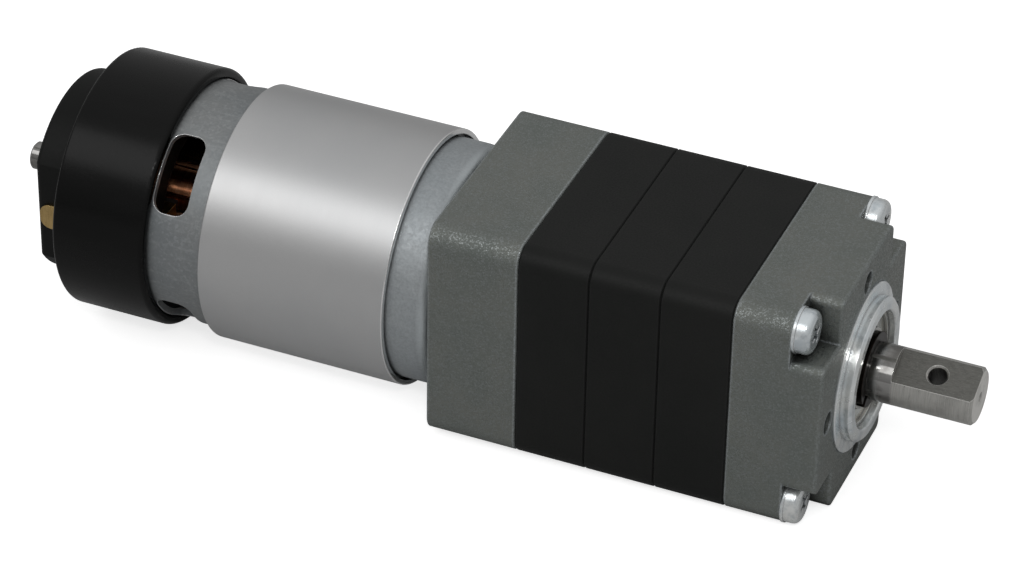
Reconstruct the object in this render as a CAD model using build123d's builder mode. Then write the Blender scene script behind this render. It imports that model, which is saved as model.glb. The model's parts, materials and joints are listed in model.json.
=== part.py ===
"""Planetary gearmotor: a square three-stage planetary gearbox on a round brush motor.

Frame, in millimetres: the origin is the centre of the front mounting face, +X runs out along the
output shaft and +Z is up. Stations along the axis are X values, so those behind the face are negative.
"""

import os
from math import acos, cos, pi, radians, sin, tan

from build123d import *

os.makedirs("parts", exist_ok=True)

# ---- Gearbox housing ---------------------------------------------------------------------------
frame_width = 42.0
frame_corner_radius = 3.4
front_flange_length = 16.0
stage_length = 12.5
motor_flange_length = 16.2
seam_chamfer = 0.28
face_edge_radius = 0.45

notch_wall = 12.7  # distance of each notch wall from the axis planes
notch_depth = 5.9
notch_edge_radius = 1.4
screw_offset = 17.3  # of each long screw from the axis planes
screw_hole_radius = 2.15
screw_radius = 1.98
screw_head_radius = 3.8
screw_head_height = 3.0
screw_washer_radius = 4.0
screw_washer_thickness = 0.5
screw_length = 60.0

mounting_circle_radius = 17.0
mounting_hole_radius = 2.0
mounting_hole_depth = 9.0

# ---- Pilot ring and output bearings --------------------------------------------------------------
pilot_radius = 12.5
pilot_height = 2.5
pilot_bevel = 0.5
pilot_bore_radius = 10.2
pilot_bore_chamfer = 0.25
retainer_flange_radius = 14.7
retainer_flange_height = 0.5
retainer_flange_chamfer = 0.15
retainer_recess = 0.8

output_bearing_radius = 11.0
output_bearing_width = 6.0
output_ball_count = 11
output_ball_radius = 1.59
output_ball_circle = 8.0
bearing_shoulder_radius = 9.6
front_bearing_end = 1.2  # its front face, against the pilot ring's lip and the circlip
front_bearing_start = front_bearing_end - output_bearing_width
bearing_spacing = 10.4
rear_bearing_start = front_bearing_start - bearing_spacing

# ---- Output shaft --------------------------------------------------------------------------------
shaft_radius = 5.0
shaft_reach = 20.6
shaft_chamfer = 0.5
flat_start = 6.5
flat_distance = 3.7  # from the axis to the milled flat
flat_direction = 115.5  # degrees from +Y towards +Z
cross_hole_station = 13.5
cross_hole_radius = 1.6
cross_hole_chamfer = 0.3
centre_drill_radius = 0.9
flat_zone_radius = 4.99  # the shaft is eased by hundredths towards its tip
lead_in_start = 16.0
lead_in_radius = 4.98
circlip_start = front_bearing_end
circlip_thickness = 1.0
circlip_groove_radius = 4.8
circlip_radius = 6.5
circlip_gap_direction = 220.0
circlip_gap_width = 1.7
spacer_radius = 6.3

# ---- Gear train ----------------------------------------------------------------------------------
stage_count = 3
planet_count = 3
gear_module = 0.7
pressure_angle = radians(25)
sun_teeth = 12
planet_teeth = 18
ring_teeth = 48
addendum = 0.9 * gear_module
dedendum = 1.2 * gear_module
backlash = 0.05  # taken off every tooth, measured along the pitch circle

sun_pitch_radius = gear_module * sun_teeth / 2
planet_pitch_radius = gear_module * planet_teeth / 2
ring_pitch_radius = gear_module * ring_teeth / 2
planet_orbit_radius = sun_pitch_radius + planet_pitch_radius

disc_thickness = 0.7
disc_recess = 0.8
disc_radius = 18.3
disc_recess_radius = 18.4
disc_bore_radius = 6.0
sun_start = 0.9  # stations inside a stage, counted from its motor end
sun_end = 8.7
planet_start = 1.2
planet_end = 8.4
carrier_boss_start = 8.5
carrier_start = 9.0
carrier_end = 12.0
carrier_radius = 15.5
carrier_boss_radius = 3.2
carrier_chamfer = 0.4
pin_radius = 2.0
pin_head_radius = 2.8
pin_head_start = 0.85
pin_head_end = 1.12
sun_hub_radius = 3.2

# ---- Motor ---------------------------------------------------------------------------------------
can_radius = 21.2
can_wall = 1.2
can_face_thickness = 2.5
can_shoulder_radius = 3.0
can_length = 67.3
can_boss_radius = 8.75
can_boss_length = 4.5
can_shaft_hole_radius = 4.0
window_count = 4
window_first_angle = 45.0
window_length = 6.55
window_half_angle = 19.5
window_corner_radius = 2.4
window_station = -118.62

flux_ring_radius = 22.65
flux_ring_bore_radius = 21.25
flux_ring_lip_bore_radius = 21.75
flux_ring_lip_length = 1.6
flux_ring_front = -77.3
flux_ring_length = 34.4
flux_ring_edge_radius = 0.25
flux_ring_slit = 0.8

cover_radius = 23.05
cover_bore_radius = 21.3
cover_mouth_station = -121.9
cover_length = 17.4
cover_back_thickness = 1.6
cover_back_hole_radius = 18.1
cover_back_edge_radius = 0.6
cover_mouth_edge_radius = 0.9
cover_inner_edge_radius = 0.45

end_bell_radius = 17.8
end_bell_rear = -146.4
end_bell_flat_distance = 15.0
end_bell_edge_radius = 1.0
end_bell_rim_thickness = 0.6
end_bell_plug_length = 14.6
terminal_width = 4.8
terminal_thickness = 0.5
terminal_offset = -0.7
terminal_tip = -145.6
terminal_corner_radius = 1.9

rotor_shaft_radius = 2.5
rotor_shaft_rear = -154.7
rotor_shaft_chamfer = 0.3
motor_bearing_radius = 8.0
motor_bearing_width = 5.0
motor_bearing_reach = 3.3  # of its front face ahead of the can's front face
motor_ball_count = 8
motor_ball_radius = 1.35
motor_ball_circle = 5.25
magnet_radius = 19.9
magnet_bore_radius = 17.2
magnet_rear = -113.0
magnet_front = -83.0
magnet_arc = 140.0
core_radius = 16.8
core_rear = -111.0
core_front = -85.0
core_slots = 12
core_slot_mouth = 1.4
winding_overhang = 6.5
commutator_rear = -131.0
commutator_front = -120.0
commutator_radius = 5.5
commutator_hub_radius = 3.9
commutator_bars = 12
riser_length = 1.2
riser_radius = 6.8
bar_gap = 0.5
brush_station = -126.0
brush_width = 4.0
motor_screw_offset = 14.5
motor_screw_hole_radius = 2.15

# ---- Clearances ----------------------------------------------------------------------------------
press_gap = 0.01  # between located parts that don't move against each other
running_gap = 0.04  # radial, between parts that do

# ---- Stations worked out from the sizes above ----------------------------------------------------
gearbox_rear = -(front_flange_length + stage_count * stage_length)
motor_face = gearbox_rear - motor_flange_length
can_rear = motor_face - can_length
cover_rear = cover_mouth_station - cover_length
rear_bearing_end = rear_bearing_start + output_bearing_width
motor_bearing_front = motor_face + motor_bearing_reach
motor_bearing_rear = motor_bearing_front - motor_bearing_width
stage_starts = [gearbox_rear + index * stage_length for index in range(stage_count)]
screw_positions = [(y * screw_offset, z * screw_offset) for y in (-1, 1) for z in (-1, 1)]


def save(piece, label):
    """Label a finished piece and write it to its own STEP file."""
    piece.label = label
    export_step(piece, f"parts/{label}.step")


def across(station):
    """The plane across the axis at a station, with Y and Z as its own directions."""
    return Plane.YZ.offset(station)


def polar(radius, angle, centre=(0.0, 0.0)):
    """The point at a radius and an angle in radians about a centre."""
    return (centre[0] + radius * cos(angle), centre[1] + radius * sin(angle))


def annulus(station, outer_radius, inner_radius=0.0):
    """A disc or a ring section across the axis."""
    with BuildSketch(across(station)) as section:
        Circle(outer_radius)
        if inner_radius > 0:
            Circle(inner_radius, mode=Mode.SUBTRACT)
    return section.sketch


def circles(station, radius, centres):
    """Equal circles across the axis, one at each centre."""
    with BuildSketch(across(station)) as section:
        with Locations(*centres):
            Circle(radius)
    return section.sketch


def frame_square(station, width=frame_width, corner=frame_corner_radius):
    """The gearbox's square outline with rounded corners."""
    with BuildSketch(across(station)) as section:
        RectangleRounded(width, width, corner)
    return section.sketch


def rim_edges(piece, station, radius):
    """The circular edges of one radius at one station."""
    return [
        edge
        for edge in piece.edges().filter_by(GeomType.CIRCLE)
        if abs(edge.center().X - station) < 0.01 and abs(edge.radius - radius) < 0.01
    ]


# ---- Gear teeth ----------------------------------------------------------------------------------


def involute(angle):
    """The involute function of a pressure angle."""
    return tan(angle) - angle


def half_tooth_angle(teeth, radius, thinning):
    """Half the angle that a tooth fills at a radius."""
    pitch_radius = gear_module * teeth / 2
    base_radius = pitch_radius * cos(pressure_angle)
    angle_there = acos(base_radius / max(radius, base_radius))
    at_pitch = pi / (2 * teeth) - thinning / (2 * pitch_radius)
    return at_pitch + involute(pressure_angle) - involute(angle_there)


def gear_section(station, teeth, tip_radius, root_radius, thinning, centre=(0.0, 0.0), turn=0.0):
    """A toothed outline across the axis, with one tooth centred at the angle turn."""
    base_radius = gear_module * teeth / 2 * cos(pressure_angle)
    flank_radius = max(root_radius, base_radius)
    middle_radius = (flank_radius + tip_radius) / 2
    low = half_tooth_angle(teeth, flank_radius, thinning)
    middle = half_tooth_angle(teeth, middle_radius, thinning)
    high = half_tooth_angle(teeth, tip_radius, thinning)
    pitch_angle = 2 * pi / teeth
    with BuildSketch(across(station)) as section:
        with BuildLine():
            for index in range(teeth):
                tooth = turn + index * pitch_angle
                foot_before = polar(flank_radius, tooth - low, centre)
                foot_after = polar(flank_radius, tooth + low, centre)
                tip_before = polar(tip_radius, tooth - high, centre)
                tip_after = polar(tip_radius, tooth + high, centre)
                root_before = polar(root_radius, tooth - low, centre)
                root_after = polar(root_radius, tooth + low, centre)
                root_next = polar(root_radius, tooth + pitch_angle - low, centre)
                root_middle = polar(root_radius, tooth + pitch_angle / 2, centre)
                if flank_radius > root_radius:
                    Line(root_before, foot_before)
                    Line(foot_after, root_after)
                ThreePointArc(foot_before, polar(middle_radius, tooth - middle, centre), tip_before)
                ThreePointArc(tip_before, polar(tip_radius, tooth, centre), tip_after)
                ThreePointArc(tip_after, polar(middle_radius, tooth + middle, centre), foot_after)
                ThreePointArc(root_after, root_middle, root_next)
        make_face()
    return section.sketch


def sun_section(station):
    """The twelve-tooth sun, with a tooth pointing along +Y."""
    tip = sun_pitch_radius + addendum
    root = sun_pitch_radius - dedendum
    return gear_section(station, sun_teeth, tip, root, backlash)


# ---- Rolling bearings ----------------------------------------------------------------------------
race_land = 0.62  # of a race's shoulder from the ball circle, as a share of the ball's radius
cage_share = 0.25  # half the cage's thickness, as the same share
shield_seat_length = 1.0
shield_seat_step = 0.45
shield_inset = 0.55
shield_thickness = 0.3


def bearing_races(start, width, bore_radius, outer_radius, ball_circle, ball_radius, relief):
    """The outer and inner race of a ball bearing, with grooves for the balls."""
    groove_radius = ball_radius + running_gap
    land = race_land * ball_radius
    centre_station = start + width / 2
    with BuildPart() as outer_race:
        extrude(annulus(start, outer_radius, ball_circle + land), amount=width)
        if relief > 0:
            relief_radius = ball_circle + land + relief
            for station in (start, start + width - shield_seat_length):
                extrude(annulus(station, relief_radius), amount=shield_seat_length, mode=Mode.SUBTRACT)
        with BuildSketch(Plane.XY):
            with Locations((centre_station, ball_circle)):
                Circle(groove_radius)
        revolve(axis=Axis.X, mode=Mode.SUBTRACT)
    with BuildPart() as inner_race:
        extrude(annulus(start, ball_circle - land, bore_radius + press_gap), amount=width)
        with BuildSketch(Plane.XY):
            with Locations((centre_station, ball_circle)):
                Circle(groove_radius)
        revolve(axis=Axis.X, mode=Mode.SUBTRACT)
    return outer_race.part, inner_race.part


def ball_cage(centre_station, ball_circle, ball_radius, ball_count):
    """The balls of a bearing and the cage that spaces them, as separate solids."""
    cage_half_thickness = cage_share * ball_radius
    with BuildPart() as cage:
        extrude(
            annulus(
                centre_station - ball_radius,
                ball_circle + cage_half_thickness,
                ball_circle - cage_half_thickness,
            ),
            amount=2 * ball_radius,
        )
        with Locations(across(centre_station)):
            with PolarLocations(ball_circle, ball_count):
                Sphere(ball_radius + running_gap, mode=Mode.SUBTRACT)
    with BuildPart() as balls:
        with Locations(across(centre_station)):
            with PolarLocations(ball_circle, ball_count):
                Sphere(ball_radius)
    return Compound(children=[*cage.part.solids(), *balls.part.solids()])


# ---- Front flange --------------------------------------------------------------------------------
with BuildPart() as front_flange:
    extrude(frame_square(-front_flange_length), amount=front_flange_length - notch_depth)
    chamfer(front_flange.faces().sort_by(Axis.X)[0].edges(), seam_chamfer)
    with BuildSketch(across(-notch_depth)) as nose:
        Rectangle(frame_width, 2 * notch_wall)
        Rectangle(2 * notch_wall, frame_width)
        nose_corners = nose.vertices().filter_by(lambda v: max(abs(v.X), abs(v.Y)) > notch_wall + 1)
        fillet(nose_corners, notch_edge_radius)
    extrude(amount=notch_depth)
    fillet(front_flange.faces().sort_by(Axis.X)[-1].outer_wire().edges(), face_edge_radius)
    extrude(
        circles(-front_flange_length, screw_hole_radius, screw_positions),
        amount=front_flange_length,
        mode=Mode.SUBTRACT,
    )
    extrude(
        annulus(-retainer_recess, retainer_flange_radius + press_gap),
        amount=retainer_recess,
        mode=Mode.SUBTRACT,
    )
    extrude(
        annulus(front_bearing_start, output_bearing_radius + press_gap),
        amount=output_bearing_width,
        mode=Mode.SUBTRACT,
    )
    extrude(
        annulus(-front_flange_length, output_bearing_radius + press_gap),
        amount=rear_bearing_end + front_flange_length,
        mode=Mode.SUBTRACT,
    )
    extrude(annulus(rear_bearing_end, bearing_shoulder_radius), amount=bearing_spacing, mode=Mode.SUBTRACT)
    with Locations(across(0)):
        with PolarLocations(mounting_circle_radius, 4):
            Hole(mounting_hole_radius, depth=mounting_hole_depth)
save(front_flange.part, "front_flange")

with BuildPart() as bearing_retainer:
    extrude(
        annulus(-retainer_recess, retainer_flange_radius),
        amount=retainer_recess + retainer_flange_height,
    )
    chamfer(
        rim_edges(bearing_retainer, retainer_flange_height, retainer_flange_radius),
        retainer_flange_chamfer,
    )
    extrude(annulus(0, pilot_radius), amount=pilot_height)
    chamfer(rim_edges(bearing_retainer, pilot_height, pilot_radius), pilot_bevel)
    extrude(
        annulus(-retainer_recess, output_bearing_radius + press_gap),
        amount=retainer_recess + front_bearing_end,
        mode=Mode.SUBTRACT,
    )
    extrude(
        annulus(front_bearing_end, pilot_bore_radius),
        amount=pilot_height - front_bearing_end,
        mode=Mode.SUBTRACT,
    )
    chamfer(rim_edges(bearing_retainer, pilot_height, pilot_bore_radius), pilot_bore_chamfer)
save(bearing_retainer.part, "bearing_retainer")

# ---- Ring gears and spacer discs -----------------------------------------------------------------
for number, start in enumerate(stage_starts, start=1):
    with BuildPart() as ring_gear:
        extrude(frame_square(start), amount=stage_length)
        chamfer(ring_gear.faces().sort_by(Axis.X)[-1].edges(), seam_chamfer)
        chamfer(ring_gear.faces().sort_by(Axis.X)[0].edges(), seam_chamfer)
        extrude(
            circles(start, screw_hole_radius, screw_positions),
            amount=stage_length,
            mode=Mode.SUBTRACT,
        )
        extrude(annulus(start, disc_recess_radius), amount=disc_recess, mode=Mode.SUBTRACT)
        extrude(
            gear_section(
                start,
                ring_teeth,
                ring_pitch_radius + dedendum,
                ring_pitch_radius - addendum,
                -backlash,
                turn=pi / ring_teeth,
            ),
            amount=stage_length,
            mode=Mode.SUBTRACT,
        )
    save(ring_gear.part, f"ring_gear_stage_{number}")

    with BuildPart() as spacer_disc:
        extrude(annulus(start, disc_radius, disc_bore_radius), amount=disc_thickness)
    save(spacer_disc.part, f"spacer_disc_stage_{number}")

# ---- Motor flange --------------------------------------------------------------------------------
cavity_radius = 18.2
motor_flange_edge_radius = 0.2
motor_plate_thickness = 4.2
screw_tip = -notch_depth - screw_length
motor_screw_positions = [polar(motor_screw_offset, angle) for angle in (0, pi)]

with BuildPart() as motor_flange:
    extrude(frame_square(motor_face), amount=motor_flange_length)
    chamfer(motor_flange.faces().sort_by(Axis.X)[-1].edges(), seam_chamfer)
    fillet(motor_flange.faces().sort_by(Axis.X)[0].edges(), motor_flange_edge_radius)
    extrude(
        annulus(motor_face + motor_plate_thickness, cavity_radius),
        amount=motor_flange_length,
        mode=Mode.SUBTRACT,
    )
    extrude(
        annulus(motor_face, can_boss_radius + press_gap),
        amount=motor_flange_length,
        mode=Mode.SUBTRACT,
    )
    extrude(
        circles(screw_tip, screw_hole_radius, screw_positions),
        amount=gearbox_rear - screw_tip,
        mode=Mode.SUBTRACT,
    )
    extrude(
        circles(motor_face, motor_screw_hole_radius, motor_screw_positions),
        amount=motor_plate_thickness,
        mode=Mode.SUBTRACT,
    )
save(motor_flange.part, "motor_flange")

# ---- Long screws, head first ---------------------------------------------------------------------
recess_depth = 1.5
recess_slot_length = 3.6
recess_slot_width = 0.9
recess_centre_radius = 0.9
recess_turn = 20
head_edge_radius = 1.2
tip_clearance = 0.4

with BuildPart() as housing_screws:
    extrude(
        circles(screw_tip + tip_clearance, screw_radius, screw_positions),
        amount=screw_length - tip_clearance,
    )
    extrude(circles(-notch_depth, screw_washer_radius, screw_positions), amount=screw_washer_thickness)
    extrude(circles(-notch_depth, screw_head_radius, screw_positions), amount=screw_head_height)
    head_top = screw_head_height - notch_depth
    fillet(rim_edges(housing_screws, head_top, screw_head_radius), head_edge_radius)
    with BuildSketch(across(head_top)):
        with Locations(*screw_positions):
            for turn in (recess_turn, recess_turn + 90):
                Rectangle(recess_slot_length, recess_slot_width, rotation=turn)
            Circle(recess_centre_radius)
    extrude(amount=-recess_depth, mode=Mode.SUBTRACT)
save(Compound(children=list(housing_screws.part.solids())), "housing_screws")

# ---- Output bearings -----------------------------------------------------------------------------
front_races = bearing_races(
    front_bearing_start,
    output_bearing_width,
    shaft_radius,
    output_bearing_radius,
    output_ball_circle,
    output_ball_radius,
    shield_seat_step,
)
rear_races = bearing_races(
    rear_bearing_start,
    output_bearing_width,
    shaft_radius,
    output_bearing_radius,
    output_ball_circle,
    output_ball_radius,
    0.0,
)
save(front_races[0], "front_bearing_outer_race")
save(front_races[1], "front_bearing_inner_race")
save(rear_races[0], "rear_bearing_outer_race")
save(rear_races[1], "rear_bearing_inner_race")

for place, start in (("front", front_bearing_start), ("rear", rear_bearing_start)):
    middle_station = start + output_bearing_width / 2
    cage_and_balls = ball_cage(middle_station, output_ball_circle, output_ball_radius, output_ball_count)
    save(cage_and_balls, f"{place}_bearing_balls_and_cage")

shield_outer_radius = output_ball_circle + race_land * output_ball_radius + shield_seat_step - press_gap
shield_inner_radius = output_ball_circle - race_land * output_ball_radius + 3 * running_gap

with BuildPart() as front_bearing_shields:
    for station in (
        front_bearing_start + shield_inset,
        front_bearing_end - shield_inset - shield_thickness,
    ):
        extrude(annulus(station, shield_outer_radius, shield_inner_radius), amount=shield_thickness)
save(Compound(children=list(front_bearing_shields.part.solids())), "front_bearing_shields")

# ---- Output shaft, its spacer and its circlip ----------------------------------------------------
output_stage_start = stage_starts[-1]
flat_normal = radians(flat_direction)
flat_plane = Plane(
    origin=(0, *polar(flat_distance, flat_normal)),
    x_dir=(1, 0, 0),
    z_dir=(0, *polar(1, flat_normal)),
)

with BuildPart() as output_shaft:
    shaft_rear = output_stage_start + carrier_start
    extrude(annulus(shaft_rear, shaft_radius), amount=flat_start - shaft_rear)
    extrude(annulus(flat_start, flat_zone_radius), amount=lead_in_start - flat_start)
    extrude(annulus(lead_in_start, lead_in_radius), amount=shaft_reach - lead_in_start)
    chamfer(rim_edges(output_shaft, shaft_reach, lead_in_radius), shaft_chamfer)
    extrude(
        annulus(circlip_start, shaft_radius + 1, circlip_groove_radius),
        amount=circlip_thickness + 2 * press_gap,
        mode=Mode.SUBTRACT,
    )
    with BuildSketch(flat_plane):
        with Locations(((flat_start + shaft_reach) / 2 + 1, 0)):
            Rectangle(shaft_reach - flat_start + 2, 2 * shaft_radius)
    extrude(amount=shaft_radius, mode=Mode.SUBTRACT)
    with BuildSketch(flat_plane):
        with Locations((cross_hole_station, 0)):
            Circle(cross_hole_radius)
    extrude(amount=-(flat_distance + shaft_radius + 1), mode=Mode.SUBTRACT)
    chamfer(
        output_shaft.faces()
        .filter_by(Plane(flat_plane.origin, z_dir=flat_plane.z_dir))
        .sort_by(Axis.Z)[-1]
        .edges()
        .filter_by(GeomType.CIRCLE),
        cross_hole_chamfer,
    )
    with Locations(across(shaft_reach)):
        CounterSinkHole(
            centre_drill_radius / 2,
            centre_drill_radius,
            depth=2 * centre_drill_radius,
            counter_sink_angle=60,
        )
save(output_shaft.part, "output_shaft")

with BuildPart() as shaft_spacer:
    extrude(
        annulus(rear_bearing_end, spacer_radius, shaft_radius + press_gap),
        amount=front_bearing_start - rear_bearing_end,
    )
save(shaft_spacer.part, "shaft_spacer")

with BuildPart() as shaft_circlip:
    with BuildSketch(across(circlip_start + press_gap)):
        Circle(circlip_radius)
        Circle(circlip_groove_radius + press_gap, mode=Mode.SUBTRACT)
        with Locations(polar(circlip_radius, radians(circlip_gap_direction))):
            Rectangle(
                2 * circlip_radius,
                circlip_gap_width,
                rotation=circlip_gap_direction,
                mode=Mode.SUBTRACT,
            )
    extrude(amount=circlip_thickness)
save(shaft_circlip.part, "shaft_circlip")

# ---- Planets, carriers and suns ------------------------------------------------------------------
planet_directions = [2 * pi * index / planet_count for index in range(planet_count)]
planet_centres = [polar(planet_orbit_radius, direction) for direction in planet_directions]

for number, start in enumerate(stage_starts, start=1):
    for letter, direction, centre in zip("abc", planet_directions, planet_centres):
        with BuildPart() as planet_gear:
            extrude(
                gear_section(
                    start + planet_start,
                    planet_teeth,
                    planet_pitch_radius + addendum,
                    planet_pitch_radius - dedendum,
                    backlash,
                    centre=centre,
                    turn=direction + pi / planet_teeth,
                ),
                amount=planet_end - planet_start,
            )
            extrude(
                circles(start + planet_start, pin_radius + running_gap, [centre]),
                amount=planet_end - planet_start,
                mode=Mode.SUBTRACT,
            )
        save(planet_gear.part, f"planet_gear_{number}{letter}")

    with BuildPart() as carrier_pins:
        extrude(
            circles(start + pin_head_start, pin_radius, planet_centres),
            amount=carrier_end - pin_head_start,
        )
        extrude(
            circles(start + pin_head_start, pin_head_radius, planet_centres),
            amount=pin_head_end - pin_head_start,
        )
    save(Compound(children=list(carrier_pins.part.solids())), f"carrier_pins_stage_{number}")

    last_stage = number == stage_count
    bore_radius = shaft_radius if last_stage else sun_hub_radius
    with BuildPart() as planet_carrier:
        extrude(annulus(start + carrier_start, carrier_radius), amount=carrier_end - carrier_start)
        chamfer(planet_carrier.edges().filter_by(GeomType.CIRCLE), carrier_chamfer)
        extrude(
            circles(start + carrier_boss_start, carrier_boss_radius, planet_centres),
            amount=carrier_start - carrier_boss_start,
        )
        if last_stage:
            extrude(
                annulus(start + carrier_end, spacer_radius),
                amount=rear_bearing_start - start - carrier_end,
            )
        extrude(
            annulus(start + carrier_start, bore_radius + press_gap),
            amount=stage_length,
            mode=Mode.SUBTRACT,
        )
        extrude(
            circles(start, pin_radius + press_gap, planet_centres),
            amount=stage_length,
            mode=Mode.SUBTRACT,
        )
    save(planet_carrier.part, "output_carrier" if last_stage else f"planet_carrier_stage_{number}")

    if not last_stage:
        next_start = start + stage_length
        with BuildPart() as sun_gear:
            extrude(
                annulus(start + carrier_start, sun_hub_radius),
                amount=stage_length + sun_start - carrier_start,
            )
            extrude(sun_section(next_start + sun_start), amount=sun_end - sun_start)
        save(sun_gear.part, f"sun_gear_stage_{number + 1}")

# ---- Motor pinion, which is the first sun --------------------------------------------------------
first_start = stage_starts[0]
pinion_hub_radius = 4.8
pinion_hub_length = 7.5  # behind the first stage
pinion_hub_start = first_start - pinion_hub_length

with BuildPart() as motor_pinion:
    extrude(
        annulus(pinion_hub_start, pinion_hub_radius),
        amount=first_start + sun_start - pinion_hub_start,
    )
    extrude(sun_section(first_start + sun_start), amount=sun_end - sun_start)
    extrude(
        annulus(pinion_hub_start, rotor_shaft_radius + press_gap),
        amount=first_start + sun_end - pinion_hub_start,
        mode=Mode.SUBTRACT,
    )
save(motor_pinion.part, "sun_gear_stage_1")

# ---- Motor can -----------------------------------------------------------------------------------
bore_front = motor_face - can_face_thickness
bearing_seat_front = motor_bearing_front + 10 * press_gap
window_chord = 2 * can_radius * sin(radians(window_half_angle))

with BuildPart() as motor_can:
    extrude(annulus(can_rear, can_radius), amount=can_length)
    fillet(rim_edges(motor_can, motor_face, can_radius), can_shoulder_radius)
    extrude(annulus(motor_face, can_boss_radius), amount=can_boss_length)
    fillet(rim_edges(motor_can, motor_face + can_boss_length, can_boss_radius), can_wall / 2)
    extrude(annulus(can_rear, can_radius - can_wall), amount=bore_front - can_rear, mode=Mode.SUBTRACT)
    extrude(
        annulus(bore_front, motor_bearing_radius + press_gap),
        amount=bearing_seat_front - bore_front,
        mode=Mode.SUBTRACT,
    )
    extrude(annulus(bearing_seat_front, can_shaft_hole_radius), amount=can_boss_length, mode=Mode.SUBTRACT)
    extrude(
        circles(bore_front, screw_radius + press_gap, motor_screw_positions),
        amount=can_face_thickness,
        mode=Mode.SUBTRACT,
    )
    for index in range(window_count):
        direction = radians(window_first_angle + index * 360 / window_count)
        window_plane = Plane(
            origin=(window_station, 0, 0),
            x_dir=(1, 0, 0),
            z_dir=(0, cos(direction), sin(direction)),
        )
        with BuildSketch(window_plane):
            RectangleRounded(window_length, window_chord, window_corner_radius)
        extrude(amount=2 * can_radius, mode=Mode.SUBTRACT)
save(motor_can.part, "motor_can")

# ---- Flux ring, a rolled strip with a butt joint at the bottom -----------------------------------
flux_ring_rear = flux_ring_front - flux_ring_length

with BuildPart() as flux_ring:
    extrude(annulus(flux_ring_rear, flux_ring_radius, flux_ring_bore_radius), amount=flux_ring_length)
    for station in (flux_ring_rear, flux_ring_front - flux_ring_lip_length):
        extrude(
            annulus(station, flux_ring_lip_bore_radius),
            amount=flux_ring_lip_length,
            mode=Mode.SUBTRACT,
        )
    for station in (flux_ring_rear, flux_ring_front):
        fillet(rim_edges(flux_ring, station, flux_ring_radius), flux_ring_edge_radius)
    with Locations(((flux_ring_rear + flux_ring_front) / 2, 0, -flux_ring_radius)):
        Box(flux_ring_length, flux_ring_slit, flux_ring_radius, mode=Mode.SUBTRACT)
save(flux_ring.part, "flux_ring")

# ---- Rear cover, a cup with a round hole for the end bell ----------------------------------------
with BuildPart() as rear_cover:
    extrude(annulus(cover_rear, cover_radius), amount=cover_length)
    fillet(rim_edges(rear_cover, cover_rear, cover_radius), cover_back_edge_radius)
    fillet(rim_edges(rear_cover, cover_mouth_station, cover_radius), cover_mouth_edge_radius)
    extrude(
        annulus(cover_rear + cover_back_thickness, cover_bore_radius),
        amount=cover_length,
        mode=Mode.SUBTRACT,
    )
    extrude(annulus(cover_rear, cover_back_hole_radius), amount=cover_length, mode=Mode.SUBTRACT)
    fillet(rim_edges(rear_cover, cover_mouth_station, cover_bore_radius), cover_inner_edge_radius)
    fillet(rim_edges(rear_cover, cover_rear, cover_back_hole_radius), cover_inner_edge_radius)
save(rear_cover.part, "rear_cover")

# ---- End bell with its flats, brush slots and bush seat ------------------------------------------
bush_radius = 5.5
end_bell_shaft_hole_radius = 3.2
bush_setback = 1.0  # from the can's rear edge
bush_front = can_rear - bush_setback
bush_length = 6.0
plug_bore_radius = 15.0
holder_size = 5.4
holder_start = 7.2  # distances of the brush holder's two ends from the axis
holder_end = 14.4
holder_rear = brush_station - holder_size / 2
tab_slot_clearance = 0.1
tab_slot_length = end_bell_plug_length + end_bell_rim_thickness + 2 * tab_slot_clearance
tab_slot_station = can_rear + (end_bell_plug_length - end_bell_rim_thickness) / 2

with BuildPart() as end_bell:
    extrude(annulus(end_bell_rear, end_bell_radius), amount=can_rear - end_bell_rear)
    with BuildSketch(across(end_bell_rear)):
        with GridLocations(2 * (end_bell_flat_distance + end_bell_radius), 1, 2, 1):
            Rectangle(2 * end_bell_radius, 2 * end_bell_radius)
    extrude(amount=can_rear - end_bell_rim_thickness - end_bell_rear, mode=Mode.SUBTRACT)
    fillet(end_bell.faces().sort_by(Axis.X)[0].edges(), end_bell_edge_radius)
    extrude(
        annulus(can_rear - end_bell_rim_thickness, can_radius - running_gap),
        amount=end_bell_rim_thickness,
    )
    extrude(annulus(can_rear, can_radius - can_wall - running_gap), amount=end_bell_plug_length)
    extrude(annulus(bush_front, plug_bore_radius), amount=end_bell_plug_length + 2, mode=Mode.SUBTRACT)
    extrude(
        annulus(bush_front - bush_length, bush_radius + press_gap),
        amount=bush_length,
        mode=Mode.SUBTRACT,
    )
    extrude(
        annulus(end_bell_rear, end_bell_shaft_hole_radius),
        amount=end_bell_plug_length,
        mode=Mode.SUBTRACT,
    )
    for side in (-1, 1):
        tab_middle = side * (end_bell_flat_distance + press_gap + terminal_thickness / 2)
        with Locations((tab_slot_station, tab_middle, -side * terminal_offset)):
            Box(
                tab_slot_length,
                terminal_thickness + tab_slot_clearance,
                terminal_width + tab_slot_clearance,
                mode=Mode.SUBTRACT,
            )
    for side in (-1, 1):
        with Locations((holder_rear, side * (holder_start + plug_bore_radius) / 2, 0)):
            Box(
                holder_rear - bush_front,
                plug_bore_radius - holder_start,
                holder_size,
                align=(Align.MAX, Align.CENTER, Align.CENTER),
            )
save(end_bell.part, "end_bell")

with BuildPart() as rear_bush:
    extrude(
        annulus(bush_front - bush_length, bush_radius, rotor_shaft_radius + running_gap),
        amount=bush_length,
    )
save(rear_bush.part, "rear_bush")

# ---- Terminals, brass tabs that lie on the end bell's flats -----------------------------------------
terminal_root = brush_station + holder_size / 2

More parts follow.
